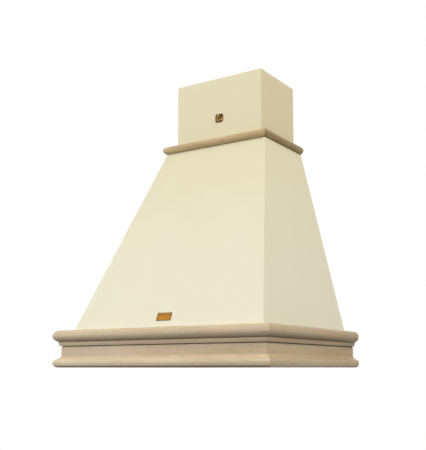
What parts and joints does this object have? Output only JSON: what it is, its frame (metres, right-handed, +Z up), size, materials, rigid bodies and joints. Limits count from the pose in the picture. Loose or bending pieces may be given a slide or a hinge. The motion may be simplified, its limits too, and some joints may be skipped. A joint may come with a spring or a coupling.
{
  "type": "range hood",
  "caption": "Wall-hung kitchen range hood: wooden-framed pyramid canopy and chimney over an extractor with hinged grease filters, lamps, buttons, blower and duct collar.",
  "frame": {"origin": "on the wall plane, level with the underside of the base moulding, at the middle of the width", "axes": "+X to the right seen from the room, +Y into the wall, +Z up"},
  "size_m": [0.6, 0.45, 0.75],
  "materials": {
    "beech": "raw, unfinished, fine grain",
    "ivory_panel": "matte ivory paint on board",
    "frame_timber": "planed softwood, unfinished",
    "brass": "satin",
    "bronze": "dark, antiqued",
    "tray_steel": "satin enamel",
    "zinc_steel": "zinc coated",
    "aluminium": "brushed",
    "filter_mesh": "layered mesh",
    "latch_plastic": "matte",
    "lamp_plastic": "satin",
    "lens": "frosted",
    "button_plastic": "satin",
    "switch_plastic": "matte",
    "blower_plastic": "matte",
    "impeller_plastic": "satin",
    "flap_plastic": "matte",
    "motor_steel": "satin",
    "bright_steel": "bright",
    "box_plastic": "matte"
  },
  "bodies": {
    "root": {"base_moulding_front": "beech", "base_moulding_left": "beech", "base_moulding_right": "beech", "neck_moulding_front": "beech", "neck_moulding_left": "beech", "neck_moulding_right": "beech", "canopy_front": "ivory_panel", "canopy_left": "ivory_panel", "canopy_right": "ivory_panel", "chimney_front": "ivory_panel", "chimney_left": "ivory_panel", "chimney_right": "ivory_panel", "base_rail_front": "frame_timber", "base_rail_left": "frame_timber", "base_rail_right": "frame_timber", "base_rail_back": "frame_timber", "base_corner_blocks": "frame_timber", "canopy_batten_left": "frame_timber", "canopy_batten_right": "frame_timber", "canopy_back_rail": "frame_timber", "neck_back_rail": "frame_timber", "chimney_batten_left": "frame_timber", "chimney_batten_right": "frame_timber", "chimney_back_rail": "frame_timber", "front_plate": "brass", "chimney_badge": "bronze", "insert_tray": "tray_steel", "insert_housing": "zinc_steel", "motor_bracket": "zinc_steel", "lamp_housing_left": "lamp_plastic", "lamp_housing_right": "lamp_plastic", "control_bezel": "lamp_plastic", "lamp_lens_left": "lens", "lamp_lens_right": "lens", "switch_block": "switch_plastic", "blower_half_left": "blower_plastic", "blower_half_right": "blower_plastic", "duct_collar": "blower_plastic", "motor": "motor_steel", "damper_pin": "bright_steel", "tray_screws": "bright_steel", "blower_screws": "bright_steel", "connection_box": "box_plastic", "cable_gland": "box_plastic"},
    "filter_left": {"filter_frame_left": "aluminium", "filter_pad_left": "filter_mesh"},
    "filter_right": {"filter_frame_right": "aluminium", "filter_pad_right": "filter_mesh"},
    "latch_left": {"filter_latch_left": "latch_plastic"},
    "latch_right": {"filter_latch_right": "latch_plastic"},
    "rotor": {"impeller": "impeller_plastic", "motor_shaft": "bright_steel"},
    "flap_front": {"damper_flap_front": "flap_plastic"},
    "flap_back": {"damper_flap_back": "flap_plastic"},
    "push_1": {"button_1": "button_plastic"},
    "push_2": {"button_2": "button_plastic"},
    "push_3": {"button_3": "button_plastic"},
    "push_4": {"button_4": "button_plastic"},
    "push_5": {"button_5": "button_plastic"}
  },
  "joints": [
    {"name": "filter_left_hinge", "type": "hinge", "parent": "root", "child": "filter_left", "pos_m": [-0.089, -0.0368, 0.015], "axis": [1, 0, 0], "range_deg": [0, 70]},
    {"name": "filter_left_latch", "type": "slide", "parent": "filter_left", "child": "latch_left", "axis": [0, 1, 0], "range_m": [0, 0.0045], "stiffness_N_per_m": 150},
    {"name": "filter_right_hinge", "type": "hinge", "parent": "root", "child": "filter_right", "pos_m": [0.089, -0.0368, 0.015], "axis": [1, 0, 0], "range_deg": [0, 70]},
    {"name": "filter_right_latch", "type": "slide", "parent": "filter_right", "child": "latch_right", "axis": [0, 1, 0], "range_m": [0, 0.0045], "stiffness_N_per_m": 150},
    {"name": "button_1_press", "type": "slide", "parent": "root", "child": "push_1", "axis": [0, 0, 1], "range_m": [0, 0.0025], "stiffness_N_per_m": 200},
    {"name": "button_2_press", "type": "slide", "parent": "root", "child": "push_2", "axis": [0, 0, 1], "range_m": [0, 0.0025], "stiffness_N_per_m": 200},
    {"name": "button_3_press", "type": "slide", "parent": "root", "child": "push_3", "axis": [0, 0, 1], "range_m": [0, 0.0025], "stiffness_N_per_m": 200},
    {"name": "button_4_press", "type": "slide", "parent": "root", "child": "push_4", "axis": [0, 0, 1], "range_m": [0, 0.0025], "stiffness_N_per_m": 200},
    {"name": "button_5_press", "type": "slide", "parent": "root", "child": "push_5", "axis": [0, 0, 1], "range_m": [0, 0.0025], "stiffness_N_per_m": 200},
    {"name": "impeller_spin", "type": "hinge", "parent": "root", "child": "rotor", "pos_m": [0, -0.15225, 0.17], "axis": [1, 0, 0], "continuous": true},
    {"name": "flap_front_hinge", "type": "hinge", "parent": "root", "child": "flap_front", "pos_m": [0, -0.08825, 0.33265], "axis": [-1, 0, 0], "range_deg": [0, 80]},
    {"name": "flap_back_hinge", "type": "hinge", "parent": "root", "child": "flap_back", "pos_m": [0, -0.08825, 0.33265], "axis": [1, 0, 0], "range_deg": [0, 80]}
  ]
}
